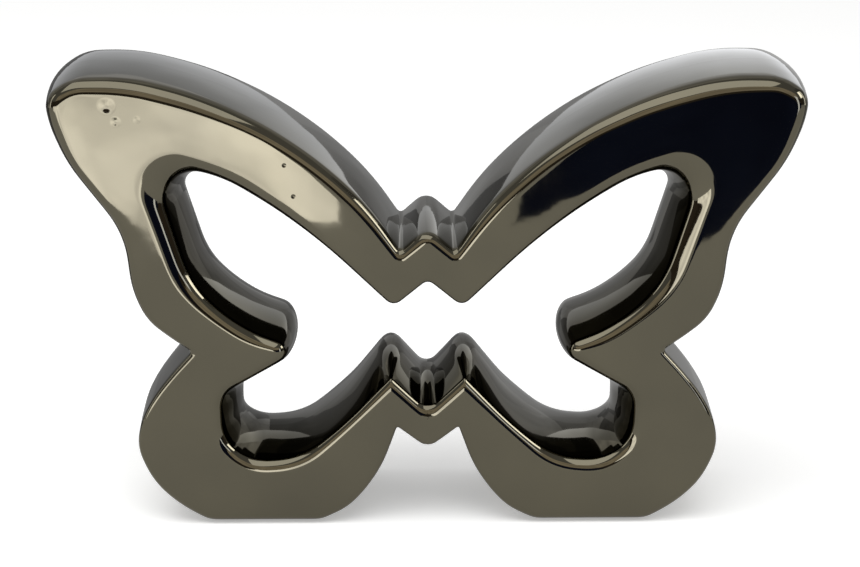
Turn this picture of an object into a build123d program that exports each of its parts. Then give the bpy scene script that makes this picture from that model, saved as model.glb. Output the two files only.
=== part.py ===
from build123d import *
import math
import os

# Butterfly ornament: a hollow glazed ceramic outline of a butterfly that stands on two feet.
# Millimetres. X runs across the wings, Y from front to rear, Z up. The origin lies on the
# table, under the middle of the ornament. The left side mirrors the right side.

# Casting: two half shells, pressed in a mould and joined with slip on the middle plane
body_depth = 55.0
wall = 4.0
edge_round = 4.0
seam_thickness = 0.6

# Felt dots and air vents under the feet
felt_diameter = 12.0
felt_thickness = 1.0
felt_inset = 5.0
vent_diameter = 6.0
felt_to_vent = 17.0

# Upper wing, outer side. Every height is measured from the underside of the feet.
head_tip_height = 110.7
head_notch_x = 9.4
head_notch_depth = 8.7
wing_half_span = 133.2
wing_rise = 52.7
wing_tip_width = 10.3
wing_tip_drop = 7.2
wing_side_inset = 1.6
wing_side_drop = 10.6
waist_x = 106.8
waist_drop = 56.8
wing_notch_x = 80.6
wing_notch_height = 62.2

# Lower wing, outer side
lower_half_span = 103.9
shoulder_drop = 24.8
shoulder_side = 10.2
foot_outer_x = 78.6
foot_length = 40.2
tail_notch_x = 10.8
tail_notch_height = 35.7
tail_drop = 8.9

# Opening, placed by the width of the band that runs round it
head_band = 21.3
tooth_x = 12.2
tooth_drop = 10.3
wing_top_band = 35.9
wing_side_band = 43.6
lobe_tip_x = 38.9
lobe_lift = 3.6
lower_side_band = 37.3
opening_side_lift = 8.7
foot_band = 27.2
foot_band_length = 19.9
peak_x = 13.3
peak_band = 23.7
peak_drop = 12.6

# Rounding of the outline's corners, seen from the front
tip_round = 5.8
peak_round = 4.8
lobe_round = 8.0
notch_round = 1.3
valley_round = 4.0
corner_round = 6.5
foot_round = 10.0
least_round = 0.5

# The flowing stretches. Each pair of ratios says how far along a corner lies, across and up, on
# the way from one landmark to the next, so a curve keeps its character when a landmark moves.
wing_top_ratios = [(0.087, 0.246), (0.227, 0.497), (0.395, 0.715), (0.6, 0.897), (0.823, 1.003)]
wing_side_ratios = [(0.234, 0.349)]
waist_ratios = [(0.092, 0.446), (0.29, 0.712), (0.618, 0.865)]
lower_wing_ratios = [(0.217, 0.456), (0.573, 0.779)]
leg_ratios = [(0.348, 0.129), (0.569, 0.308), (0.812, 0.588)]
opening_roof_ratios = [(0.308, 0.473), (0.535, 0.748), (0.769, 0.952)]
opening_side_ratios = [(0.203, 0.536), (0.278, 0.645), (0.408, 0.755), (0.59, 0.859)]
lobe_underside_ratios = [(0.838, 0.721)]
opening_floor_ratios = [(0.437, 0.329)]

# A flowing corner has no radius of its own: its arc is as wide as its two sides allow.
FLOWING = None
SIDE_IN_USE = 0.98

half_depth = body_depth / 2
seam_half = seam_thickness / 2
foot_middle_x = foot_outer_x - foot_length / 2
felt_x = foot_middle_x + felt_to_vent / 2
vent_x = foot_middle_x - felt_to_vent / 2
felt_y = half_depth - edge_round - felt_inset - felt_diameter / 2


def flowing(start, end, shares):
    """Corners of a flowing stretch between two landmarks."""
    across = end[0] - start[0]
    up = end[1] - start[1]
    return [(start[0] + across * sx, start[1] + up * sz, FLOWING) for sx, sz in shares]


def mirrored(right_half):
    """Close a right half, drawn from top to bottom, with its mirror image."""
    left_half = [(-x, z, radius) for x, z, radius in reversed(right_half) if x > 0]
    return right_half + left_half


def outer_corners():
    """Corners of the butterfly's outer outline, clockwise from the head."""
    wing_top_height = head_tip_height + wing_rise
    wing_tip_height = wing_top_height - wing_tip_drop
    shoulder_height = wing_notch_height - shoulder_drop
    head_notch = (head_notch_x, head_tip_height - head_notch_depth, notch_round)
    wing_top = (wing_half_span - wing_tip_width, wing_top_height, FLOWING)
    wing_tip = (wing_half_span, wing_tip_height, FLOWING)
    wing_side = (wing_half_span - wing_side_inset, wing_tip_height - wing_side_drop, FLOWING)
    waist = (waist_x, wing_top_height - waist_drop, FLOWING)
    wing_notch = (wing_notch_x, wing_notch_height, notch_round)
    shoulder_top = (lower_half_span, shoulder_height, FLOWING)
    shoulder_low = (lower_half_span, shoulder_height - shoulder_side, FLOWING)
    foot_outer = (foot_outer_x, 0.0, foot_round)
    foot_inner = (foot_outer_x - foot_length, 0.0, foot_round)
    tail_notch = (tail_notch_x, tail_notch_height, notch_round)
    right_half = [(0.0, head_tip_height, tip_round), head_notch]
    right_half += flowing(head_notch, wing_top, wing_top_ratios)
    right_half += [wing_top, wing_tip, wing_side]
    right_half += flowing(wing_side, waist, wing_side_ratios)
    right_half += [waist]
    right_half += flowing(waist, wing_notch, waist_ratios)
    right_half += [wing_notch, shoulder_top, shoulder_low]
    right_half += flowing(shoulder_low, foot_outer, lower_wing_ratios)
    right_half += [foot_outer, foot_inner]
    right_half += flowing(foot_inner, tail_notch, leg_ratios)
    right_half += [tail_notch, (0.0, tail_notch_height - tail_drop, tip_round)]
    return mirrored(right_half)


def opening_corners():
    """Corners of the opening, clockwise from its top point."""
    opening_top = head_tip_height - head_band
    roof_height = head_tip_height + wing_rise - wing_top_band
    side_x = lower_half_span - lower_side_band
    side_height = wing_notch_height - shoulder_drop + opening_side_lift
    peak_height = tail_notch_height + peak_band
    tooth = (tooth_x, opening_top - tooth_drop, peak_round)
    roof_corner = (wing_half_span - wing_side_band, roof_height, corner_round)
    lobe_tip = (lobe_tip_x, wing_notch_height + lobe_lift, lobe_round)
    side = (side_x, side_height, FLOWING)
    floor_corner = (side_x, foot_band, FLOWING)
    floor = (side_x - foot_band_length, foot_band, FLOWING)
    peak = (peak_x, peak_height, peak_round)
    right_half = [(0.0, opening_top, valley_round), tooth]
    right_half += flowing(tooth, roof_corner, opening_roof_ratios)
    right_half += [roof_corner]
    right_half += flowing(roof_corner, lobe_tip, opening_side_ratios)
    right_half += [lobe_tip]
    right_half += flowing(lobe_tip, side, lobe_underside_ratios)
    right_half += [side, floor_corner, floor]
    right_half += flowing(floor, peak, opening_floor_ratios)
    right_half += [peak, (0.0, peak_height - peak_drop, valley_round)]
    return mirrored(right_half)


def sides_of(corners):
    """Unit direction and length of the side that leaves each corner."""
    points = [Vector(x, z) for x, z, radius in corners]
    sides = [points[(i + 1) % len(points)] - points[i] for i in range(len(points))]
    return points, [side.normalized() for side in sides], [side.length for side in sides]


def moved_right(corners, shift):
    """The same loop with every side moved to the right of the way it is drawn."""
    points, ways, lengths = sides_of(corners)
    moved = []
    for i, (x, z, radius) in enumerate(corners):
        before = Vector(ways[i - 1].Y, -ways[i - 1].X)
        after = Vector(ways[i].Y, -ways[i].X)
        corner = points[i] + (before + after) * (shift / (1 + before.dot(after)))
        turns_right = ways[i - 1].cross(ways[i]).Z < 0
        if radius is not FLOWING:
            radius = max(radius - shift if turns_right else radius + shift, least_round)
        moved.append((corner.X, corner.Y, radius))
    return moved


def loop_face(corners):
    """A face whose edge runs from corner to corner, with an arc at each."""
    points, ways, lengths = sides_of(corners)
    count = len(points)
    half_turns = [math.radians(ways[i - 1].get_angle(ways[i])) / 2 for i in range(count)]
    reach = []
    for i in range(count):
        radius = corners[i][2]
        room = min(lengths[i - 1], lengths[i]) * SIDE_IN_USE / 2
        reach.append(None if radius is FLOWING else min(radius * math.tan(half_turns[i]), room))

    def room_beside(i, neighbour, length):
        fixed = corners[neighbour][2] is not FLOWING
        return length - reach[neighbour] if fixed else length / 2

    for i in range(count):
        if corners[i][2] is FLOWING:
            before = room_beside(i, i - 1, lengths[i - 1])
            after = room_beside(i, (i + 1) % count, lengths[i])
            reach[i] = min(before, after) * SIDE_IN_USE
    edges = []
    for i in range(count):
        start = points[i] - ways[i - 1] * reach[i]
        end = points[i] + ways[i] * reach[i]
        radius = reach[i] / math.tan(half_turns[i])
        to_centre = (ways[i] - ways[i - 1]).normalized()
        middle = points[i] + to_centre * (radius / math.cos(half_turns[i]) - radius)
        edges.append(ThreePointArc(start, middle, end))
        following = (i + 1) % count
        edges.append(Line(end, points[following] - ways[i] * reach[following]))
    return make_face(edges)


def slab(outline, front_y, rear_y):
    """The outline, drawn in X and height, as a slab between two planes across Y."""
    upright = Plane.XZ * outline
    thick = extrude(upright, amount=rear_y - front_y, dir=(0, 1, 0))
    return Pos(0, front_y, felt_thickness) * thick


outer = outer_corners()
opening = opening_corners()
outer_face = loop_face(outer)
opening_face = loop_face(opening)
cavity_outer_face = loop_face(moved_right(outer, wall))
cavity_inner_face = loop_face(moved_right(opening, -wall))


def half_shell():
    """Front half of the hollow casting: a rounded front face with a rim behind it."""
    body = slab(outer_face - opening_face, -half_depth, -seam_half)
    front_edges = body.edges().group_by(Axis.Y)[0]
    body = fillet(front_edges, edge_round)
    cavity = slab(cavity_outer_face - cavity_inner_face, wall - half_depth, -seam_half)
    return body - cavity


def vents():
    """Air holes through the floor of the feet, one in each."""
    hole = Cylinder(vent_diameter / 2, wall * 3)
    return [Pos(side * vent_x, felt_y, felt_thickness) * hole for side in (-1, 1)]


def seam(outline):
    """Fired slip that fills the joint between the two rims."""
    return slab(outline, -seam_half, seam_half)


def felt_dot(x, y):
    """Round dot of pressed felt, stuck to the underside of a foot."""
    return Pos(x, y, felt_thickness / 2) * Cylinder(felt_diameter / 2, felt_thickness)


os.makedirs("parts", exist_ok=True)
front = half_shell()
pieces = {
    "front_shell": front,
    "rear_shell": mirror(front, about=Plane.XZ) - vents(),
    "outer_seam_slip": seam(outer_face - cavity_outer_face),
    "inner_seam_slip": seam(cavity_inner_face - opening_face),
    "left_front_felt_dot": felt_dot(-felt_x, -felt_y),
    "left_rear_felt_dot": felt_dot(-felt_x, felt_y),
    "right_front_felt_dot": felt_dot(felt_x, -felt_y),
    "right_rear_felt_dot": felt_dot(felt_x, felt_y),
}
for name, piece in pieces.items():
    export_step(piece, f"parts/{name}.step")
    print(name, round(piece.volume / 1000, 2), "cm3")
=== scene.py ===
# %% [markdown]
# # A butterfly ornament in dark lustre
#
# The real ornament is hollow glazed earthenware. Two pressed halves are joined with slip, glazed,
# and fired again with a thin metal lustre, which turns the glaze into a dark mirror. A mirror has
# no colour or texture of its own to hide behind: it shows the shape of every edge. So this lesson
# spends its effort on clean, flowing surfaces, and on a studio for them to reflect.
#
# The solid model gives the frame: metres, +X across the wings, +Y to the rear, +Z up.

# %% Load the frame
import math
import bpy
import numpy as np
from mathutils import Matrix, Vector


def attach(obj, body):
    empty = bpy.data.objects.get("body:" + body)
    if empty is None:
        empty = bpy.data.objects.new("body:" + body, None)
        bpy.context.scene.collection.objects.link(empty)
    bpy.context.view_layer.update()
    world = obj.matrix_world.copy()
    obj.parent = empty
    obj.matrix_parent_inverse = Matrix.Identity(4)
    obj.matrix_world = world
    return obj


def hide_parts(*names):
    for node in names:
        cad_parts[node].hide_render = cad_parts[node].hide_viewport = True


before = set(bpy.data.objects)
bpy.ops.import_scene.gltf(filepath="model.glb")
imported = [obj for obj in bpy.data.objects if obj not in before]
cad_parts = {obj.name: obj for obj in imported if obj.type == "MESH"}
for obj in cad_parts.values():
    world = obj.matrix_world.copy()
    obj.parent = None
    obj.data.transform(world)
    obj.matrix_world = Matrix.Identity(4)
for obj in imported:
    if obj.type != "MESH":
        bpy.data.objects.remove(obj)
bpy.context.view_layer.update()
MM = 0.001
print("solids:", sorted(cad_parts))

# %% [markdown]
# ## The outline
#
# Seen from the front, the ornament is a band between two closed loops: the butterfly's outer
# outline and the opening inside it. Each loop is a list of corners. A corner with a radius is a
# real corner, such as a notch. A corner without one flows: its arc is as wide as its two sides
# allow. Only the right half is listed, because the left half mirrors it. All sizes are in
# millimetres, with heights above the underside of the feet.
#
# The loops are drawn where the body is widest, half way through its depth. From there the walls
# lean in to the front and the rear, because pressed clay has to leave its mould, and the edges are
# rounded by hand. So each corner also says how far its wall leans and how large its edge round is.

# %% Corners of the right half
FLOWING = math.nan
NOTCH_ROUND = 1.3
FOOT_ROUND = 10.0


def flowing(lean, edge, places):
    """Flowing corners at the given places, across and up, with the same lean and edge round."""
    return [(across, up, FLOWING, lean, edge) for across, up in places]


# A corner is: across, up, radius of the corner, lean of the wall, radius of the edge round.
head_tip = (0.0, 110.7, 6.7, 1.5, 3.4)
head_notch = (9.4, 102.0, NOTCH_ROUND, 1.2, 2.8)
wing_rise = flowing(1.5, 4.2, [(19.3, 117.1), (35.2, 132.5), (54.2, 145.9)])
wing_crest = flowing(1.6, 5.2, [(77.5, 157.1), (102.8, 163.6)])
wing_tip = flowing(1.8, 4.4, [(122.9, 163.4), (133.2, 156.2), (131.6, 145.6)])
wing_fall = flowing(1.5, 3.0, [(125.8, 132.0), (106.8, 106.6)])
wing_under = flowing(0.8, 2.2, [(104.4, 86.8), (99.2, 75.0), (90.6, 68.2)])
wing_notch = (84.0, 63.9, NOTCH_ROUND, 0.6, 1.8)
shoulder = flowing(0.5, 1.8, [(90.6, 56.6), (97.4, 47.8), (102.2, 39.0), (104.2, 28.0)])
leg_outer = flowing(0.3, 2.4, [(98.4, 14.8), (89.4, 6.0)])
foot_outer = (78.6, 0.0, FOOT_ROUND, 0.0, 3.0)
foot_inner = (38.4, 0.0, FOOT_ROUND, 0.0, 3.0)
leg_inner = flowing(0.2, 1.8, [(28.8, 4.6), (22.7, 11.0), (16.0, 21.0)])
tail_notch = (10.8, 35.5, 0.6, 0.3, 1.0)
tail_tip = (0.0, 26.8, 5.8, 0.6, 1.4)
outer_right = [head_tip, head_notch, *wing_rise, *wing_crest, *wing_tip, *wing_fall, *wing_under,
               wing_notch, *shoulder, *leg_outer, foot_outer, foot_inner, *leg_inner, tail_notch,
               tail_tip]

opening_top = (0.0, 89.2, 2.6, 1.0, 1.5)
tooth = (12.2, 79.1, 4.8, 1.0, 1.5)
roof = [*flowing(1.0, 2.6, [(36.0, 102.0)]), *flowing(1.3, 3.4, [(53.6, 115.3)]),
        *flowing(2.6, 4.0, [(71.7, 125.2)])]
roof_corner = (89.6, 127.5, 9.0, 6.6, 6.2)
opening_bow = [*flowing(6.5, 4.8, [(79.3, 94.4)]), *flowing(6.0, 4.0, [(75.5, 87.7)]),
               *flowing(5.4, 3.4, [(68.9, 80.9), (59.7, 74.5)])]
lobe_tip = (34.6, 65.0, 8.0, 4.6, 2.8)
lobe_under = flowing(2.6, 2.8, [(62.1, 51.6)])
opening_side = flowing(7.6, 2.4, [(67.0, 45.5)])
floor_corner = [*flowing(7.2, 2.8, [(67.0, 32.8)]), *flowing(5.6, 3.2, [(61.0, 26.9)])]
opening_floor = flowing(4.6, 3.6, [(46.7, 27.2)])
floor_rise = flowing(2.9, 2.6, [(32.1, 37.8)])
peak = (13.3, 63.0, 6.5, 6.5, 2.2)
opening_low = (0.0, 46.8, 4.0, 4.0, 2.5)
opening_right = [opening_top, tooth, *roof, roof_corner, *opening_bow, lobe_tip, *lobe_under,
                 *opening_side, *floor_corner, *opening_floor, *floor_rise, peak, opening_low]


def mirrored(right):
    """Close a right half, listed from top to bottom, with its mirror image."""
    left = [(-x, *rest) for x, *rest in reversed(right) if x > 0]
    return np.array(right + left)


outer = mirrored(outer_right)
opening = mirrored(opening_right)
print("corners:", len(outer), "outer,", len(opening), "opening")

# %% [markdown]
# ## From corners to arcs
#
# A loop is straight sides joined by arcs that touch them. An arc takes some length from both of
# its sides, and two neighbours share a side, so first each corner finds out how far it may reach.
# A real corner reaches as far as its radius needs. A flowing corner takes all the room that is left
# on the shorter of its two sides, so its arc is as wide as it can be.

# %% Sides, turns and reaches
SIDE_IN_USE = 0.98  # share of its room that an arc takes
FIXED_SHARE = 0.72  # most of a side that a real corner takes from a flowing one


def sides_of(points):
    """Unit way and length of the side that leaves each corner, and the turn at the corner."""
    side = np.roll(points, -1, 0) - points
    length = np.linalg.norm(side, axis=1)
    way = side / length[:, None]
    arriving = np.roll(way, 1, 0)
    cross = arriving[:, 0] * way[:, 1] - arriving[:, 1] * way[:, 0]
    return way, length, np.arctan2(cross, np.sum(arriving * way, axis=1))


def corner_reach(radius, turn, length):
    """How far along its two sides each corner's arc reaches: its radius times the tangent of half
    the turn, or for a flowing corner all the room that its neighbours leave."""
    fixed = ~np.isnan(radius)
    before = np.roll(length, 1)
    share_before = np.where(np.roll(fixed, 1), 0.5, FIXED_SHARE)
    share_after = np.where(np.roll(fixed, -1), 0.5, FIXED_SHARE)
    wanted = np.where(fixed, np.nan_to_num(radius) * np.tan(np.abs(turn) / 2), 0.0)
    reach = np.minimum(wanted, np.minimum(before * share_before, length * share_after) * SIDE_IN_USE)
    room_before = np.where(np.roll(fixed, 1), before - np.roll(reach, 1), before / 2)
    room_after = np.where(np.roll(fixed, -1), length - np.roll(reach, -1), length / 2)
    return np.where(fixed, reach, np.minimum(room_before, room_after) * SIDE_IN_USE)


print("sharpest turn of the outline, degrees:", round(np.degrees(np.abs(sides_of(outer[:, :2])[2]).max())))

# %% [markdown]
# ## From arcs to a smooth loop
#
# Arcs and straights are exact, but where a straight meets an arc the curvature jumps, and a mirror
# shows the jump as a kink in its reflection. So the loop is sampled densely and then smoothed a
# little. Tight corners must stay tight, so distance along the loop is stretched where the curve
# bends: the same smoothing then reaches a quarter of a millimetre at a notch and two millimetres
# along a wing.

# %% Sample and smooth a loop
DENSE = 8192  # points on a loop while it is worked out
STRETCH = 12.0  # a bend of radius r stretches length by 1 + 12 / r
SMOOTHING = 2.2  # in stretched millimetres


def smooth_loop(corners):
    """A closed loop through rounded corners: its points at equal steps of stretched length, the
    whole stretched length, and the stretched length at the middle of each corner's arc."""
    points = corners[:, :2]
    way, length, turn = sides_of(points)
    reach = corner_reach(corners[:, 2], turn, length)
    radius = reach / np.tan(np.abs(turn) / 2)
    spans = np.stack([radius * np.abs(turn), length - reach - np.roll(reach, -1)], 1).ravel()
    starts = np.concatenate([[0.0], np.cumsum(spans)])
    distance = np.linspace(0, starts[-1], DENSE, endpoint=False)
    span = np.clip(np.searchsorted(starts, distance, "right") - 1, 0, len(spans) - 1)
    corner = span // 2
    on_arc = span % 2 == 0
    along = distance - starts[span]
    angle = along / radius[corner]
    arriving = np.roll(way, 1, 0)
    inward = np.stack([-arriving[:, 1], arriving[:, 0]], 1) * np.sign(turn)[:, None]
    arc = (points - arriving * reach[:, None])[corner] \
        + arriving[corner] * (radius[corner] * np.sin(angle))[:, None] \
        + inward[corner] * (radius[corner] * (1 - np.cos(angle)))[:, None]
    straight = (points + way * reach[:, None])[corner] + way[corner] * along[:, None]
    rough = np.where(on_arc[:, None], arc, straight)
    bend = np.where(on_arc, 1 / radius[corner], 0.0)
    stretched = np.concatenate([[0.0], np.cumsum((1 + STRETCH * bend) * starts[-1] / DENSE)])
    even = np.linspace(0, stretched[-1], DENSE, endpoint=False)
    closed = np.concatenate([rough, rough[:1]])
    loop = np.stack([np.interp(even, stretched, closed[:, k]) for k in (0, 1)], 1)
    wave = np.fft.fftfreq(DENSE, stretched[-1] / DENSE) * 2 * np.pi
    blur = np.exp(-0.5 * (wave * SMOOTHING) ** 2)[:, None]
    loop = np.real(np.fft.ifft(np.fft.fft(loop, axis=0) * blur, axis=0))
    middle = starts[:-1:2] + spans[::2] / 2
    at_corner = np.interp(middle, np.append(distance, starts[-1]), stretched)
    return loop, stretched[-1], at_corner


print("stretched length of the loops, mm:", round(smooth_loop(outer)[1]), round(smooth_loop(opening)[1]))

# %% [markdown]
# ## Rungs between the loops
#
# The front face spans from one loop to the other, like a ladder bent into a ring. For the rungs to
# stay square to the band, both loops get the same number of steps between matching landmarks: the
# head faces the top of the opening, the wing tip faces the opening's upper corner, and so on.

# %% Match the loops rung by rung
STEPS = 1280  # rungs wanted round the band
VALUE_SMOOTHING = 10.0  # in rungs
outer_marks = [outer_right.index(mark) for mark in (
    head_tip, head_notch, wing_crest[0], wing_tip[1], wing_fall[1], wing_notch, shoulder[2], foot_outer,
    foot_inner, tail_notch, tail_tip)]
opening_marks = [opening_right.index(mark) for mark in (
    opening_top, tooth, roof[1], roof_corner, opening_bow[0], lobe_tip, opening_side[0], floor_corner[0],
    opening_floor[0], peak, opening_low)]
outer_at = smooth_loop(outer)[2][outer_marks]
opening_at = smooth_loop(opening)[2][opening_marks]
spread = np.maximum(np.diff(outer_at), np.diff(opening_at))
counts = np.round(spread / spread.sum() * STEPS / 2).astype(int)
rungs = 2 * counts.sum()


def rung_stations(at_corner, length, marks):
    """Stretched lengths with counts[i] equal steps from mark i to mark i+1, down the right half
    and then up the left half, which mirrors it."""
    at = at_corner[marks]
    right = np.concatenate([np.linspace(at[i], at[i + 1], steps, endpoint=False)
                            for i, steps in enumerate(counts)])
    return np.concatenate([right, [at[-1]], length + 2 * at[0] - right[:0:-1]])


def on_rungs(corners, marks):
    """Points of a loop where the rungs meet it."""
    loop, length, at_corner = smooth_loop(corners)
    stations = rung_stations(at_corner, length, marks)
    grid = np.arange(DENSE + 1) * length / DENSE
    closed = np.concatenate([loop, loop[:1]])
    return np.stack([np.interp(stations % length, grid, closed[:, k]) for k in (0, 1)], 1)


def over_rungs(corners, marks, values):
    """One value per corner, spread over the rungs in straight lines and then smoothed over a few
    rungs to a closed curve."""
    _, length, at_corner = smooth_loop(corners)
    stations = rung_stations(at_corner, length, marks)
    corners_round = np.append(at_corner, length + at_corner[0])
    whole = np.interp(stations, corners_round, np.append(values, values[0]))
    wave = np.fft.fftfreq(rungs) * 2 * np.pi
    blur = np.exp(-0.5 * (wave * VALUE_SMOOTHING) ** 2)
    return np.real(np.fft.ifft(np.fft.fft(whole) * blur))


print("rungs:", rungs)

# %% [markdown]
# ## The cross-section
#
# Cut across the band and each half shell shows a wall, a rounded edge, a face, another edge and
# another wall. A loop at any depth is made like the first one, from corners that have moved into
# the clay. That keeps a lobe or a peak crisp where an edge round is larger than the corner, which
# pushing each point straight inwards would fold over itself.
#
# The face swells very slightly, so no reflection in it is quite flat.

# %% Loops at any depth
HALF_DEPTH = 27.5
FOOT_HEIGHT = 1.0  # thickness of the felt under the feet
WALL = 4.0
SEAM_HALF = 0.3  # half the width of the slip between the halves
SWELL = 0.0012  # height of the face's swell as a share of its width
SHARPEST = 0.6  # least radius of an outward corner
ROUNDER = 0.3  # share of the inset that a hollow corner's radius grows by
CLAY_WITHIN = 1
CLAY_AROUND = -1


def inset_corners(corners, inset, into):
    """Move each corner into the clay along its bisector by inset over the cosine of half the turn.
    A radius on an outward corner shrinks by the inset, and one in a hollow corner grows a little.
    The clay lies within the outline and around the opening, which the sign of into tells."""
    way, _, turn = sides_of(corners[:, :2])
    after = into * np.stack([way[:, 1], -way[:, 0]], 1)
    before = np.roll(after, 1, 0)
    move = (before + after) * (inset / (1 + np.sum(before * after, axis=1)))[:, None]
    shrunk = np.maximum(corners[:, 2] - inset, SHARPEST)
    grown = corners[:, 2] + ROUNDER * inset
    radius = np.where(turn * into < 0, shrunk, grown)
    return np.column_stack([corners[:, :2] + move, radius])


face_width = np.linalg.norm(on_rungs(outer, outer_marks) - on_rungs(opening, opening_marks), axis=1)
swell = SWELL * face_width
# A parabola as high as this share of its width leaves its foot with four times that slope.
edge_tilt = math.atan(4 * SWELL)
print("widest face, mm:", round(face_width.max(), 1), "swell, mm:", round(swell.max(), 3))

# %% [markdown]
# ### The rear shoulder
#
# The rear half of the lower shoulder leans much more than its front, which shows as a narrow band
# of wall in the photograph. So the rear half has the same corners as the front, with larger leans
# at the notch, the shoulder and the leg.

# %% Corners of the rear half
SHOULDER_REAR_LEAN = 7.0
NOTCH_REAR_LEAN = 3.0
LEG_REAR_LEAN = 2.0
rear_lean = {wing_notch: NOTCH_REAR_LEAN}
rear_lean |= dict.fromkeys(shoulder, SHOULDER_REAR_LEAN)
rear_lean |= dict.fromkeys(leg_outer, LEG_REAR_LEAN)


def leaning_back(corner):
    """The same corner with the lean that its wall has in the rear half."""
    across, up, radius, lean, edge = corner
    return across, up, radius, rear_lean.get(corner, lean), edge


outer_rear = mirrored([leaning_back(corner) for corner in outer_right])
print("corners with another lean at the rear:", len(rear_lean), "on each side")

# %% [markdown]
# ## The half shells
#
# The skin of a half is a closed tube of columns that runs along the band. The columns go up the
# outer wall, round its edge, across the face, round the opening's edge, down its wall, and back
# through the hollow inside, four millimetres below the surface. A bevel of a plain extrusion was
# the other choice, but it leaves a crease where flat meets round, and its walls stay straight.

# %% Columns of a wall and its edge
WALL_COLUMNS = 10
EDGE_COLUMNS = 12


def skin_column(corners, marks, into, rise, angle):
    """One column of a wall or its edge. The wall goes from the seam up to where the edge starts, by
    its share rise. At depth d it has moved in by lean * (d / half depth) squared, and on the edge
    by edge * (1 - cos angle) more."""
    lean = corners[:, 3]
    edge = corners[:, 4]
    start = HALF_DEPTH - edge * math.cos(edge_tilt)
    depth = SEAM_HALF + (start - SEAM_HALF) * rise + edge * math.sin(angle)
    inset = lean * (depth / HALF_DEPTH) ** 2 + edge * (1 - math.cos(angle))
    flat = on_rungs(inset_corners(corners, inset, into), marks)
    rung_depth = over_rungs(corners, marks, depth) - swell * rise
    return np.column_stack([flat[:, 0], -rung_depth, flat[:, 1]])


def wall_and_edge(corners, marks, into):
    """All columns of one wall, from the seam to the face."""
    rises = np.linspace(0, 1, WALL_COLUMNS, endpoint=False)
    angles = np.linspace(0, math.pi / 2 - edge_tilt, EDGE_COLUMNS)
    steps = [(rise, 0.0) for rise in rises] + [(1.0, angle) for angle in angles]
    return np.stack([skin_column(corners, marks, into, *step) for step in steps], 1)


print("columns of a wall and its edge:", WALL_COLUMNS + EDGE_COLUMNS)

# %% [markdown]
# ### Face and hollow
#
# The face is straight from edge to edge, apart from its swell, which is a parabola across the band.
# The hollow inside shows nowhere but through the vents, so a few columns are enough for it.

# %% A half as one closed grid
FACE_COLUMNS = 16
HOLLOW_MIDDLE = 12.0  # depth of its middle column
HOLLOW_ROUND = 0.3  # share of the edge round that it follows
FACE_EXTRA = 0.5  # the face is thicker than the walls by this


def hollow(corners, marks, into, depths):
    """Columns of the hollow at the given depths: one wall thickness below the skin, and towards the
    face a growing share of the edge round further in."""
    columns = []
    for depth in depths:
        lean = corners[:, 3] * (depth / HALF_DEPTH) ** 2
        rounding = corners[:, 4] * HOLLOW_ROUND * depth / HALF_DEPTH
        flat = on_rungs(inset_corners(corners, WALL + lean + rounding, into), marks)
        columns.append(np.column_stack([flat[:, 0], np.full(rungs, -depth), flat[:, 1]]))
    return np.stack(columns, 1)


def half_skin(outer_corners):
    """A half shell as a closed grid: rungs along the band, columns round its section."""
    outside = wall_and_edge(outer_corners, outer_marks, CLAY_WITHIN)
    inside = wall_and_edge(opening, opening_marks, CLAY_AROUND)
    across = np.linspace(0, 1, FACE_COLUMNS + 2)[1:-1]
    face = outside[:, -1:] + (inside[:, -1:] - outside[:, -1:]) * across[:, None]
    face[..., 1] = -(HALF_DEPTH - swell[:, None] * (2 * across - 1) ** 2)
    depths = [SEAM_HALF, HOLLOW_MIDDLE, HALF_DEPTH - WALL - FACE_EXTRA]
    inner_hollow = hollow(opening, opening_marks, CLAY_AROUND, depths)
    outer_hollow = hollow(outer_corners, outer_marks, CLAY_WITHIN, depths[::-1])
    grid = np.concatenate([outside, face, inside[:, ::-1], inner_hollow, outer_hollow], 1)
    grid[..., 2] += FOOT_HEIGHT
    return grid


front_grid = half_skin(outer)
rear_grid = half_skin(outer_rear) * np.array([1, -1, 1])
print("grid of a half:", front_grid.shape[0], "rungs by", front_grid.shape[1], "columns")

# %% [markdown]
# ### From grid to mesh
#
# A grid becomes a mesh when each point is joined to its neighbours. Here both ends of the grid meet
# their beginnings, so the skin is closed. The rear half was turned over to lie behind the seam, and
# that turns its faces inside out, so their corners are listed backwards. A volume that comes out
# positive shows that the faces point outwards.

# %% Make the half shells
CREASE_ANGLE = math.radians(50)
CUBIC_CM = 1e-6


def new_piece(name, points, faces, smooth=True):
    """A mesh at the origin from points in metres and faces as lists of point numbers. A smooth one
    is creased only where it turns by more than the crease angle."""
    mesh = bpy.data.meshes.new(name)
    mesh.from_pydata(points.tolist(), [], faces)
    if smooth:
        mesh.shade_smooth()
        mesh.set_sharp_from_angle(angle=CREASE_ANGLE)
    piece = bpy.data.objects.new(name, mesh)
    bpy.context.scene.collection.objects.link(piece)
    return piece


def ring_mesh(name, grid, flip=False):
    """A piece from a grid that closes on itself both ways: four neighbours make a face."""
    long, around = grid.shape[:2]
    i = np.arange(long)[:, None]
    j = np.arange(around)[None, :]
    corners = [i * around + j, (i + 1) % long * around + j,
               (i + 1) % long * around + (j + 1) % around, i * around + (j + 1) % around]
    quads = np.stack([np.broadcast_to(c, (long, around)) for c in corners], -1).reshape(-1, 4)
    if flip:
        quads = quads[:, ::-1]
    return new_piece(name, grid.reshape(-1, 3) * MM, quads.tolist())


def volume(piece):
    """Signed volume in cubic centimetres: a sixth of the sum of a . (b x c) over all triangles."""
    mesh = piece.data
    mesh.calc_loop_triangles()
    tri = np.empty(len(mesh.loop_triangles) * 3, np.int32)
    mesh.loop_triangles.foreach_get("vertices", tri)
    co = np.empty(len(mesh.vertices) * 3)
    mesh.vertices.foreach_get("co", co)
    a, b, c = co.reshape(-1, 3)[tri.reshape(-1, 3)].transpose(1, 0, 2)
    return np.sum(a * np.cross(b, c)) / 6 / CUBIC_CM


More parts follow.
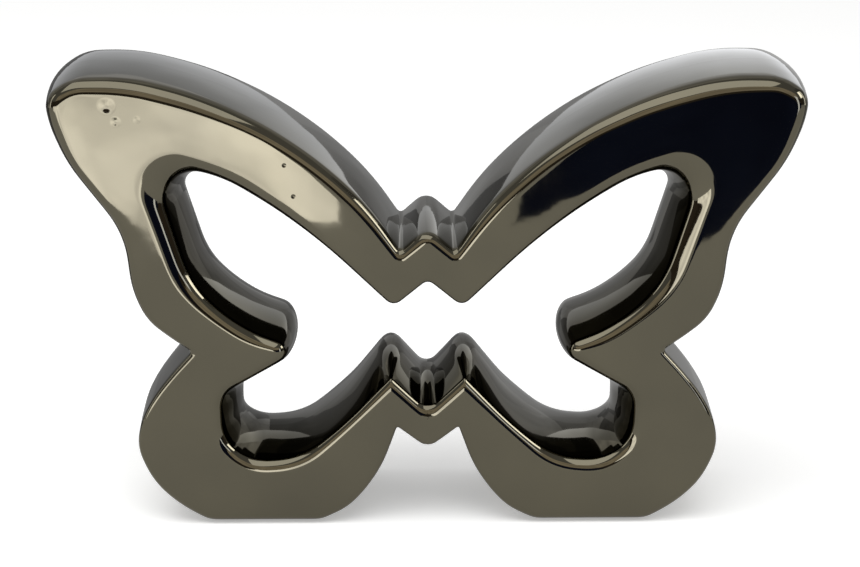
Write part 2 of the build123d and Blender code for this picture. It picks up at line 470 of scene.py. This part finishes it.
front_shell = ring_mesh("front_shell_skin", front_grid)
rear_shell = ring_mesh("rear_shell_skin", rear_grid, flip=True)
print("half shells, cubic cm:", round(volume(front_shell), 1), round(volume(rear_shell), 1))

# %% [markdown]
# ## The slip seams
#
# Liquid clay, called slip, glues the two halves before the glaze goes on. It leaves a band a bit
# over half a millimetre wide along the outer wall and another along the opening. Each is a four
# sided section carried round its loop, flush with the walls on either side.

# %% Build the seams


def seam_band(name, corners, marks, into, flip):
    """A loop's section: at the surface and one wall below it, at both sides of the joint."""
    surface = on_rungs(corners, marks)
    below = on_rungs(inset_corners(corners, np.full(len(corners), WALL), into), marks)
    sides = [(surface, SEAM_HALF), (surface, -SEAM_HALF), (below, -SEAM_HALF), (below, SEAM_HALF)]
    grid = np.stack([np.column_stack([flat[:, 0], np.full(rungs, depth), flat[:, 1] + FOOT_HEIGHT])
                     for flat, depth in sides], 1)
    return ring_mesh(name, grid, flip)


outer_seam = seam_band("outer_seam_band", outer, outer_marks, CLAY_WITHIN, False)
inner_seam = seam_band("inner_seam_band", opening, opening_marks, CLAY_AROUND, True)
print("seams, cubic cm:", round(volume(outer_seam), 2), round(volume(inner_seam), 2))

# %% [markdown]
# ## Vents
#
# Air must leave the hollow while the clay is fired, so the rear half has a small hole in the
# bottom of each foot. The holes are cut with a Boolean, because they run straight through a
# surface that is otherwise one smooth grid.

# %% Cut the vents
VENT_RADIUS = 3.0
VENT_SIDES = 48
VENT_ACROSS = 50.0
VENT_BACK = 12.5
VENT_OVERSHOOT = 3.0  # how far the cutter passes both sides of the wall


def vent_posts(name, low, high):
    """Upright closed cylinders, one for each vent: two rings of points with a face over each end."""
    angle = np.linspace(0, 2 * np.pi, VENT_SIDES, endpoint=False)
    ring = np.stack([np.cos(angle), np.sin(angle)], 1) * VENT_RADIUS
    i = np.arange(VENT_SIDES)
    k = np.roll(i, -1)
    side = np.stack([i, k, k + VENT_SIDES, i + VENT_SIDES], 1)
    points = []
    faces = []
    for across in (-VENT_ACROSS, VENT_ACROSS):
        base = len(points) * VENT_SIDES
        for height in (low, high):
            points.append(np.column_stack([ring + (across, VENT_BACK), np.full(VENT_SIDES, height)]))
        faces += (side + base).tolist()
        faces += [(i[::-1] + base).tolist(), (i + VENT_SIDES + base).tolist()]
    return new_piece(name, np.concatenate(points) * MM, faces, smooth=False)


cutter = vent_posts("vent_cutter", FOOT_HEIGHT - VENT_OVERSHOOT, FOOT_HEIGHT + WALL + VENT_OVERSHOOT)
boolean = rear_shell.modifiers.new("vents", "BOOLEAN")
boolean.object = cutter
boolean.operation = "DIFFERENCE"
boolean.solver = "EXACT"
graph = bpy.context.evaluated_depsgraph_get()
cut = bpy.data.meshes.new_from_object(rear_shell.evaluated_get(graph))
rear_shell.modifiers.clear()
rear_shell.data = cut
bpy.data.objects.remove(cutter)
print("rear shell after the vents, cubic cm:", round(volume(rear_shell), 1))

# %% [markdown]
# ## Felt dots
#
# Punched felt dots keep glazed feet from scratching a shelf. A punch leaves an upright side with
# slightly crushed rims, so each dot is a small profile turned round its axis: flat, soft rim,
# side, soft rim, flat.

# %% Turn the felt dots
FELT_RADIUS = 6.0
FELT_RIM = 0.25
FELT_SIDES = 72
RIM_STEPS = 5
FELT_ACROSS = 67.0
FELT_BACK = 12.5
FELT_PLACES = {"left_front_felt_dot": (-FELT_ACROSS, -FELT_BACK),
               "left_rear_felt_dot": (-FELT_ACROSS, FELT_BACK),
               "right_front_felt_dot": (FELT_ACROSS, -FELT_BACK),
               "right_rear_felt_dot": (FELT_ACROSS, FELT_BACK)}


def felt_dot(name, place):
    """A profile of radius and height, with quarter-round rims, turned round an upright axis."""
    turn = np.linspace(0, np.pi / 2, RIM_STEPS)
    radius = np.concatenate([np.sin(turn), np.cos(turn)]) * FELT_RIM + FELT_RADIUS - FELT_RIM
    low_rim = FELT_RIM - FELT_RIM * np.cos(turn)
    high_rim = FOOT_HEIGHT - FELT_RIM + FELT_RIM * np.sin(turn)
    height = np.concatenate([low_rim, high_rim])
    angle = np.linspace(0, 2 * np.pi, FELT_SIDES, endpoint=False)[:, None]
    grid = np.stack(np.broadcast_arrays(place[0] + radius * np.cos(angle),
                                        place[1] + radius * np.sin(angle), height), -1)
    rows = len(radius)
    i = np.arange(FELT_SIDES)[:, None] * rows
    k = np.roll(i, -1, 0)
    j = np.arange(rows - 1)
    quads = np.stack(np.broadcast_arrays(i + j, k + j, k + j + 1, i + j + 1), -1).reshape(-1, 4)
    caps = [i[::-1, 0].tolist(), (i[:, 0] + rows - 1).tolist()]
    return new_piece(name, grid.reshape(-1, 3) * MM, quads.tolist() + caps)


felt_dots = {node: felt_dot(node + "_pressed", place) for node, place in FELT_PLACES.items()}
print("felt dots, cubic cm:", [round(volume(dot), 3) for dot in felt_dots.values()])

# %% [markdown]
# ## Materials
#
# Colours are written as sRGB hex values, as a colour picker shows them, and turned to the linear
# values that the renderer works in. One helper adds a node with its settings and links.

# %% Helpers for materials


def linear(hex_colour):
    """sRGB hex to linear: divide by 12.92 near black, and raise to the power 2.4 elsewhere."""
    srgb = [int(hex_colour[k:k + 2], 16) / 255 for k in (1, 3, 5)]
    return [c / 12.92 if c <= 0.04045 else ((c + 0.055) / 1.055) ** 2.4 for c in srgb] + [1.0]


def add_node(tree, kind, inputs=None, **settings):
    """Add a node. Settings are its own options; each input gets a value or another socket."""
    node = tree.nodes.new(kind)
    for name, value in settings.items():
        setattr(node, name, value)
    for name, value in (inputs or {}).items():
        if isinstance(value, bpy.types.NodeSocket):
            tree.links.new(value, node.inputs[name])
        else:
            node.inputs[name].default_value = value
    return node


def new_material(name):
    """An empty node material with its output node."""
    material = bpy.data.materials.new(name)
    material.use_nodes = True
    material.node_tree.nodes.clear()
    output = add_node(material.node_tree, "ShaderNodeOutputMaterial")
    return material, material.node_tree, output.inputs["Surface"]


print("#808080 in linear light:", round(linear("#808080")[0], 3))

# %% [markdown]
# ### Gunmetal lustre on glazed earthenware
#
# Lustre is a film of metal salts, brushed over a fired glaze and fired again. To the eye it is a
# dark mirror: it gives back only a tenth of the light that meets it head on, with a warm olive
# cast, and much more at a grazing angle. Its film is never perfectly even, so the tint drifts
# slowly over three to four centimetres, and the gloss over about one. Noise on Object coordinates
# gives both their real size, whatever the shape of the mesh.

# %% Tint and gloss of the lustre
TINT_DRIFT = 35.0
FILM_DRIFT = 12.0
LEAST_ROUGHNESS = 0.03
MOST_ROUGHNESS = 0.07
lustre, tree, surface = new_material("gunmetal_lustre_on_glazed_earthenware")
place = add_node(tree, "ShaderNodeTexCoord").outputs["Object"]
drift = add_node(tree, "ShaderNodeTexNoise", {
    "Vector": place, "Scale": 1 / (TINT_DRIFT * MM), "Detail": 2.0})
tint = add_node(tree, "ShaderNodeMix", {"Factor": drift.outputs["Fac"]}, data_type="RGBA")
tint.inputs["A"].default_value = linear("#4C493F")
tint.inputs["B"].default_value = linear("#585447")
film = add_node(tree, "ShaderNodeTexNoise", {
    "Vector": place, "Scale": 1 / (FILM_DRIFT * MM), "Detail": 3.0})
gloss = add_node(tree, "ShaderNodeMapRange", {
    "Value": film.outputs["Fac"], "To Min": LEAST_ROUGHNESS, "To Max": MOST_ROUGHNESS})
print("tint drifts over", TINT_DRIFT, "mm, gloss over", FILM_DRIFT, "mm")

# %% [markdown]
# ### Dents, waves and ripple
#
# The clay was smoothed by hand, so it rises and falls by a few tenths of a millimetre over about
# three centimetres. The glaze on it has a faint ripple a few millimetres long. Both make straight
# reflections waver. The front of the left wing also has a few dents and pinholes in the glaze. Each
# is a round pit, deepest in its middle. Pits this shallow could be cut into the mesh, but the grid
# would need far smaller steps there, so they are bump as well.

# %% Surface of the lustre
HAND_WAVE = 28.0
HAND_HEIGHT = 0.3
RIPPLE = 6.0
RIPPLE_HEIGHT = 0.012
# A flaw is: across, up, radius, depth, in millimetres.
FLAWS = [(-109.9, 154.2, 3.6, 0.2), (-107.0, 148.6, 2.2, 0.12), (-99.6, 149.3, 1.6, 0.06),
         (-49.5, 133.0, 0.9, 0.15), (-46.5, 121.9, 0.9, 0.15)]
depth = 0.0
for across, up, radius, deep in FLAWS:
    away = add_node(tree, "ShaderNodeVectorMath", {
        0: place, 1: (across * MM, -HALF_DEPTH * MM, up * MM)}, operation="DISTANCE")
    pit = add_node(tree, "ShaderNodeMapRange", {
        "Value": away.outputs["Value"], "From Max": radius * MM, "To Min": -deep * MM, "To Max": 0.0},
        interpolation_type="SMOOTHSTEP")
    pits = add_node(tree, "ShaderNodeMath", {0: depth, 1: pit.outputs["Result"]}, operation="ADD")
    depth = pits.outputs[0]
flaws = add_node(tree, "ShaderNodeBump", {"Height": depth, "Distance": 1.0})
hand = add_node(tree, "ShaderNodeTexNoise", {
    "Vector": place, "Scale": 1 / (HAND_WAVE * MM), "Detail": 1.0})
shape = add_node(tree, "ShaderNodeBump", {
    "Height": hand.outputs["Fac"], "Distance": HAND_HEIGHT * MM, "Normal": flaws.outputs["Normal"]})
ripple = add_node(tree, "ShaderNodeTexNoise", {
    "Vector": place, "Scale": 1 / (RIPPLE * MM), "Detail": 1.0})
skin = add_node(tree, "ShaderNodeBump", {
    "Height": ripple.outputs["Fac"], "Distance": RIPPLE_HEIGHT * MM, "Normal": shape.outputs["Normal"]})
metal = add_node(tree, "ShaderNodeBsdfPrincipled", {
    "Base Color": tint.outputs["Result"], "Metallic": 1.0, "Roughness": gloss.outputs["Result"],
    "Normal": skin.outputs["Normal"]})
tree.links.new(metal.outputs["BSDF"], surface)
print("material:", lustre.name, "with", len(FLAWS), "flaws")

# %% [markdown]
# ### Pressed wool felt
#
# Felt is matted wool: dark, with no gloss, a soft pale edge of loose fibres, and a mottle about
# the size of a tuft, one millimetre. Modelled fibres would never be seen under the feet, so noise
# gives the mottle and sheen gives the pale edge.

# %% The felt
TUFT = 1.0
FUZZ_HEIGHT = 0.2
felt, tree, surface = new_material("pressed_wool_felt")
place = add_node(tree, "ShaderNodeTexCoord").outputs["Object"]
tufts = add_node(tree, "ShaderNodeTexNoise", {
    "Vector": place, "Scale": 1 / (TUFT * MM), "Detail": 4.0})
wool = add_node(tree, "ShaderNodeMix", {"Factor": tufts.outputs["Fac"]}, data_type="RGBA")
wool.inputs["A"].default_value = linear("#26262A")
wool.inputs["B"].default_value = linear("#3A3A3E")
fuzz = add_node(tree, "ShaderNodeBump", {
    "Height": tufts.outputs["Fac"], "Distance": FUZZ_HEIGHT * MM})
cloth = add_node(tree, "ShaderNodeBsdfPrincipled", {
    "Base Color": wool.outputs["Result"], "Roughness": 0.95, "Sheen Weight": 0.3,
    "Normal": fuzz.outputs["Normal"]})
tree.links.new(cloth.outputs["BSDF"], surface)
print("material:", felt.name)

# %% [markdown]
# ## Join the pieces to the frame
#
# Each piece stands for one solid of the model, takes its finish, and rides on the one rigid body.
# The table also lists the slot that each finish belongs to.

# %% Finish and place each piece
stands_for = {"front_shell": (front_shell, lustre, "lustre_glaze"),
              "rear_shell": (rear_shell, lustre, "lustre_glaze"),
              "outer_seam_slip": (outer_seam, lustre, "lustre_glaze"),
              "inner_seam_slip": (inner_seam, lustre, "lustre_glaze")}
stands_for.update({node: (dot, felt, "felt") for node, dot in felt_dots.items()})
for node, (piece, finish, slot) in stands_for.items():
    piece.data.materials.clear()
    piece.data.materials.append(finish)
    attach(piece, "root")
    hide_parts(node)
print("pieces:", [piece.name for piece, _, _ in stands_for.values()])

# %% [markdown]
# ## The studio floor
#
# A mirror looks like whatever stands around it, so much of the look comes from the studio: a pale
# room, white paper on the floor, a large soft box above, and cards. Paper under soft light renders
# a little grey. More lamps would whiten it but also light the ornament, so the paper adds a little
# light of its own, for the camera and for reflections alone, and still takes the shadow.

# %% The floor
FLOOR_HALF = 6.0
PAPER_LIFT = 0.35


def card(name, x, y, z, finish):
    """A grid of points, in metres, as a piece with one finish."""
    grid = np.stack(np.broadcast_arrays(x, y, z), -1)
    long, wide = grid.shape[:2]
    i = (np.arange(long - 1)[:, None] * wide + np.arange(wide - 1)).ravel()
    quads = np.stack([i, i + wide, i + wide + 1, i + 1], 1)
    piece = new_piece(name, grid.reshape(-1, 3), quads.tolist(), smooth=False)
    piece.data.materials.append(finish)
    return piece


paper, tree, surface = new_material("white_paper_floor")
path = add_node(tree, "ShaderNodeLightPath").outputs
direct = add_node(tree, "ShaderNodeMath", {
    0: path["Is Camera Ray"], 1: path["Is Glossy Ray"]}, operation="ADD")
seen = add_node(tree, "ShaderNodeMath", {
    0: direct.outputs[0], 1: path["Is Transmission Ray"]}, operation="ADD")
lift = add_node(tree, "ShaderNodeMath", {0: seen.outputs[0], 1: PAPER_LIFT}, operation="MULTIPLY")
matt = add_node(tree, "ShaderNodeBsdfDiffuse", {"Color": linear("#F8F8F7")})
glow = add_node(tree, "ShaderNodeEmission", {"Strength": lift.outputs[0]})
both = add_node(tree, "ShaderNodeAddShader", {0: matt.outputs[0], 1: glow.outputs[0]})
tree.links.new(both.outputs[0], surface)
ends = np.array([-1.0, 1.0])
card("floor", FLOOR_HALF * ends[:, None], FLOOR_HALF * ends, 0.0, paper)
print("floor, m across:", 2 * FLOOR_HALF)

# %% [markdown]
# ## Cards
#
# On a product shoot, cards just outside the picture give a mirror something to show. Here they
# glow, a little unevenly as a lit wall does, and show only in reflections, so they stay out of the
# picture and cast no shadow. Real lamps behind white cloth would do the same, but they would also
# light the floor.

# %% Helpers for cards
CLOUD = 0.3  # size of a card's lighter and darker patches, in metres
CLOUD_DRIFT = 0.25  # how much lighter and darker they are
FADE_FROM = -0.01
FADE_TO = 0.12
OFF_FLOOR = 0.002


def reflected(name, x, y, z, colour, strength, cloud=CLOUD, on_right=None):
    """A card with a soft, slightly cloudy glow that is seen only in reflections. Its brightness
    drifts by a quarter either way over the cloud's size in metres, and may go evenly from one
    strength behind the left wing to another behind the right wing."""
    finish, tree, surface = new_material(name + "_glow")
    place = add_node(tree, "ShaderNodeTexCoord").outputs["Object"]
    drift = add_node(tree, "ShaderNodeTexNoise", {"Vector": place, "Scale": 1 / cloud, "Detail": 2.0})
    cloudy = add_node(tree, "ShaderNodeMapRange", {
        "Value": drift.outputs["Fac"], "From Min": 0.3, "From Max": 0.7,
        "To Min": 1 - CLOUD_DRIFT, "To Max": 1 + CLOUD_DRIFT})
    across = add_node(tree, "ShaderNodeSeparateXYZ", {"Vector": place})
    fade = add_node(tree, "ShaderNodeMapRange", {
        "Value": across.outputs["X"], "From Min": FADE_FROM, "From Max": FADE_TO,
        "To Min": strength, "To Max": strength if on_right is None else on_right})
    bright = add_node(tree, "ShaderNodeMath", {
        0: cloudy.outputs["Result"], 1: fade.outputs["Result"]}, operation="MULTIPLY")
    glow = add_node(tree, "ShaderNodeEmission", {
        "Color": linear(colour), "Strength": bright.outputs[0]})
    tree.links.new(glow.outputs[0], surface)
    piece = card(name, x, y, z, finish)
    piece.visible_camera = False
    piece.visible_diffuse = False
    piece.visible_shadow = False
    piece.visible_transmission = False
    return piece


def upright(name, start, end, low, high, *glow):
    """An upright card between two places on the floor, from one height to another."""
    plan = np.array([start, end])
    return reflected(name, plan[:, :1], plan[:, 1:], np.array([low, high]), *glow)


def level(name, left, right, near, far, *glow):
    """A card that lies just above the floor."""
    return reflected(name, np.array([[left], [right]]), np.array([near, far]), OFF_FLOOR, *glow)


print("a card's brightness drifts by", CLOUD_DRIFT, "either way")

# %% [markdown]
# ### Cards in front
#
# The camera looks down on the front face, so the face shows the floor in front of it and, higher up
# the wings, what stands on that floor: a bright card for the left wing and a dark blue one for the
# right wing. Two windows on the right put white lights on the edges. A dim wall goes round the
# front, with a warm glow above it, and gives the rounded edges their dark and light lines.

# %% Place the front cards
WALL_RADIUS = 1.5
FRONT = -0.42
WINDOW = -0.415
HIGH_WINDOW = 1.1
GLOW_BACK = -1.2
SHORT_CLOUD = 0.05
bearing = np.radians(np.linspace(-170, -10, 41))[:, None]
reflected("front_flag", WALL_RADIUS * np.cos(bearing), WALL_RADIUS * np.sin(bearing),
          np.array([0.02, 0.42]), "#E0CDB8", 0.2)
# A card is: both ends on the floor, lowest and highest point, colour, strength, size of its clouds.
upright("left_card", (-0.7, FRONT), (-0.036, FRONT), 0.0, 0.12, "#F4F4F8", 6.8, SHORT_CLOUD)
upright("right_flag", (0.05, FRONT), (0.8, FRONT), 0.0, 0.14, "#303858", 1.0, SHORT_CLOUD)
upright("right_window", (0.4, WINDOW), (0.52, WINDOW), 0.0, 0.3, "#E8EEFF", 5.0)
upright("high_window", (HIGH_WINDOW, FRONT), (HIGH_WINDOW, -0.08), 0.4, 0.86, "#FFFFFF", 11.0)
upright("front_glow", (-1.5, GLOW_BACK), (1.5, GLOW_BACK), 0.36, 1.1, "#FFF2DE", 1.3)
print("front cards stand", -FRONT, "m in front of the ornament")

# %% [markdown]
# ### Cards behind and beside
#
# The walls seen from above look backwards and up. Far behind are a pale wall and a sloping ceiling.
# Close behind, four columns of dim floor, step and flag give the opening's walls their depth. The
# dim floor is painted shade: a glowing sheet, seen only in reflections, that stands in for the
# shaded floor behind the ornament. Above them a screen that is brighter on the right lights the
# tops of the wings. A wall on the right and a bright strip on each side streak the walls that face
# sideways.

# %% Place the rear and side cards
REAR_WALL = 1.4
CEILING_NEAR = 0.3
WALL_TOP = 0.7
CEILING_TOP = 1.5
REAR_NEAR = 0.04
REAR_FAR = 0.25
STEP_TOP = 0.065
FLAG_TOP = 0.165
SCREEN_TOP = 0.28
LONG_CLOUD = 0.8
COLUMN_CLOUD = 0.1
SIDE_WALL = 1.6
STRIP = 1.2
STRIP_TOP = 0.9
upright("rear_wall", (-3.0, REAR_WALL), (3.0, REAR_WALL), 0.02, WALL_TOP, "#F2F4F8", 0.9, LONG_CLOUD)
reflected("rear_ceiling", 3.0 * ends[:, None], np.array([REAR_WALL, CEILING_NEAR]),
          np.array([WALL_TOP, CEILING_TOP]), "#FFFFFF", 0.8)
# A column is: name, left end, right end, strength of its floor and step, strength of its flag.
for name, left, right, step, flag in (
        ("far_left", -1.0, -0.06, 0.24, 0.14), ("left", -0.06, 0.0, 0.18, 0.36),
        ("right", 0.0, 0.12, 0.34, 0.32), ("far_right", 0.12, 1.0, 0.42, 0.5)):
    start = (left, REAR_FAR)
    end = (right, REAR_FAR)
    # Painted shade: a dim glowing sheet over the floor behind, seen only in reflections, stands in for the
    # floor in the ornament's shade.
    level("rear_floor_shade_" + name, left, right, REAR_NEAR, REAR_FAR, "#FFFFFF", step, COLUMN_CLOUD)
    upright("rear_step_" + name, start, end, OFF_FLOOR, STEP_TOP, "#FFFFFF", step, COLUMN_CLOUD)
    upright("rear_flag_" + name, start, end, STEP_TOP, FLAG_TOP, "#FFFFFF", flag, COLUMN_CLOUD)
upright("rear_screen", (-1.0, REAR_FAR), (1.0, REAR_FAR), FLAG_TOP, SCREEN_TOP, "#F2F4F8", 0.78, CLOUD, 1.5)
upright("right_wall", (SIDE_WALL, -0.6), (SIDE_WALL, REAR_WALL), 0.0, CEILING_TOP, "#FFFFFF", 0.3)
upright("right_strip", (STRIP, 0.0), (STRIP, 0.14), 0.0, STRIP_TOP, "#FFFFFF", 6.0)
upright("left_strip", (-STRIP, -0.25), (-STRIP, -0.1), 0.0, STRIP_TOP, "#FFFFFF", 4.0)
print("near rear cards stand", REAR_FAR, "m behind the ornament")

# %% [markdown]
# ## Light
#
# The room itself is an even white at half strength, as pale walls all round would give. One large
# soft box above adds the soft shadow on the floor. A small lamp would draw a hard shadow and put a
# hot spot on every rounded edge.

# %% Room and soft box
ROOM_STRENGTH = 0.48
SOFT_BOX_WIDTH = 1.6
SOFT_BOX_HEIGHT = 1.0
SOFT_BOX_POWER = 13.0
SOFT_BOX_PLACE = (-0.2, -0.45, 1.25)
SOFT_BOX_AIM = (0.0, 0.0, 0.05)


def facing(place, target):
    """The turn that points a lamp or a camera from one place to another and keeps it upright."""
    return (Vector(target) - Vector(place)).to_track_quat("-Z", "Y").to_euler()


scene = bpy.context.scene
world = bpy.data.worlds.new("studio")
scene.world = world
world.use_nodes = True
room = world.node_tree.nodes["Background"]
room.inputs["Color"].default_value = linear("#FFFFFF")
room.inputs["Strength"].default_value = ROOM_STRENGTH
lamp = bpy.data.lights.new("overhead_soft_box", "AREA")
lamp.shape = "RECTANGLE"
lamp.size = SOFT_BOX_WIDTH
lamp.size_y = SOFT_BOX_HEIGHT
lamp.energy = SOFT_BOX_POWER
soft_box = bpy.data.objects.new("overhead_soft_box", lamp)
soft_box.location = SOFT_BOX_PLACE
soft_box.rotation_euler = facing(SOFT_BOX_PLACE, SOFT_BOX_AIM)
scene.collection.objects.link(soft_box)
print("soft box:", SOFT_BOX_WIDTH, "by", SOFT_BOX_HEIGHT, "m,", SOFT_BOX_POWER, "W")

# %% [markdown]
# ## The camera
#
# The photograph was taken from slightly above with a long lens. The view direction and lens were
# worked out from the outline: how much of the upper walls shows gives the height of the camera,
# and how much smaller the rear edges look than the front ones gives its distance.

# %% Camera
LENS = 108.4
SENSOR_WIDTH = 36.0
CAMERA_PLACE = (-0.0106, -0.8928, 0.3552)
CAMERA_AIM = (0.0011, 0.0, 0.0819)
camera_data = bpy.data.cameras.new("camera")
camera_data.lens = LENS
camera_data.sensor_width = SENSOR_WIDTH
camera = bpy.data.objects.new("camera", camera_data)
camera.location = CAMERA_PLACE
camera.rotation_euler = facing(CAMERA_PLACE, CAMERA_AIM)
scene.collection.objects.link(camera)
scene.camera = camera
scene.view_settings.view_transform = "Standard"
print("camera distance, m:", round((Vector(CAMERA_AIM) - camera.location).length, 3))
